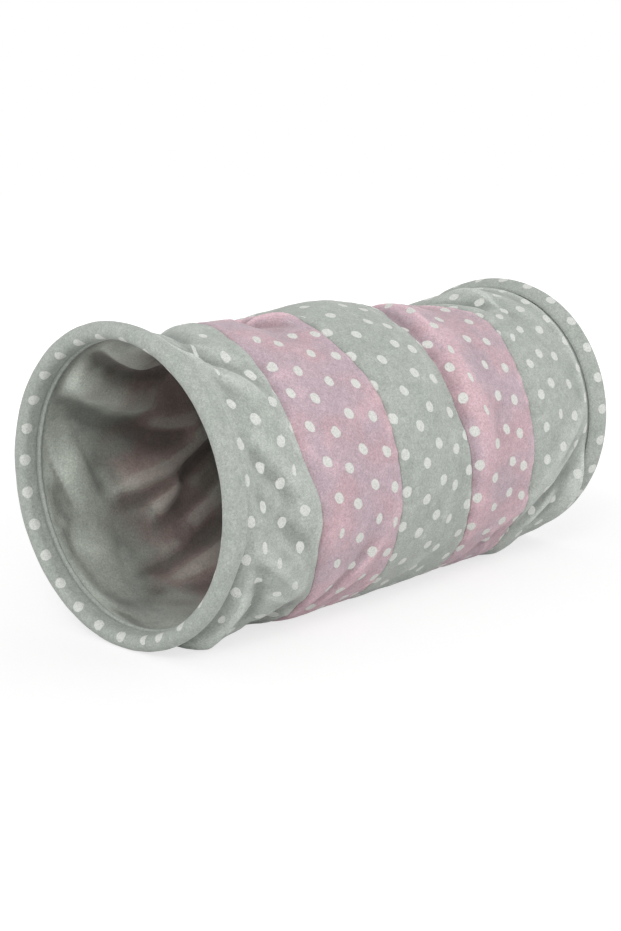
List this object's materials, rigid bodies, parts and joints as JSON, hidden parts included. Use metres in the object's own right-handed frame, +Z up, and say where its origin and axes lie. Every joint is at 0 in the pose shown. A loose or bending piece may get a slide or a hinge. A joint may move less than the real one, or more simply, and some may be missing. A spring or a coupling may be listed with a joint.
{
  "type": "cat tunnel",
  "caption": "Open-ended round cloth play tunnel for a cat: hooped padded rims, slack banded outer cloth, plain lining, and it pushes flat along its length.",
  "frame": {"origin": "on the floor under the middle of the tunnel", "axes": "+Z up, +X along the tunnel from the front mouth to the rear mouth"},
  "size_m": [0.4792, 0.2581, 0.2491],
  "materials": {
    "grey_casing": "brushed fleece, sage grey with a row of white dots",
    "grey_band": "brushed fleece, sage grey with white dots",
    "pink_band": "brushed fleece, dusty pink with white dots",
    "lining_cloth": "plain brushed fleece, sage grey",
    "thread": "spun polyester sewing thread",
    "hoop_tube": "plain extruded polyethylene",
    "joiner_plug": "moulded, fine matte"
  },
  "bodies": {
    "front_end": {"front_hoop": "hoop_tube", "front_hoop_joiner": "joiner_plug", "front_rim_casing": "grey_casing", "front_rim_stitching": "thread", "band_1_grey": "grey_band", "band_2_pink": "pink_band", "band_3_grey": "grey_band", "band_4_pink": "pink_band", "band_5_grey": "grey_band", "lining": "lining_cloth"},
    "rear_end": {"rear_hoop": "hoop_tube", "rear_hoop_joiner": "joiner_plug", "rear_rim_casing": "grey_casing", "rear_rim_stitching": "thread"}
  },
  "joints": [
    {"name": "push_flat", "type": "slide", "parent": "front_end", "child": "rear_end", "axis": [1, 0, 0], "range_m": [-0.4, 0], "deforming": ["band_1_grey", "band_2_pink", "band_3_grey", "band_4_pink", "band_5_grey", "lining"]}
  ]
}
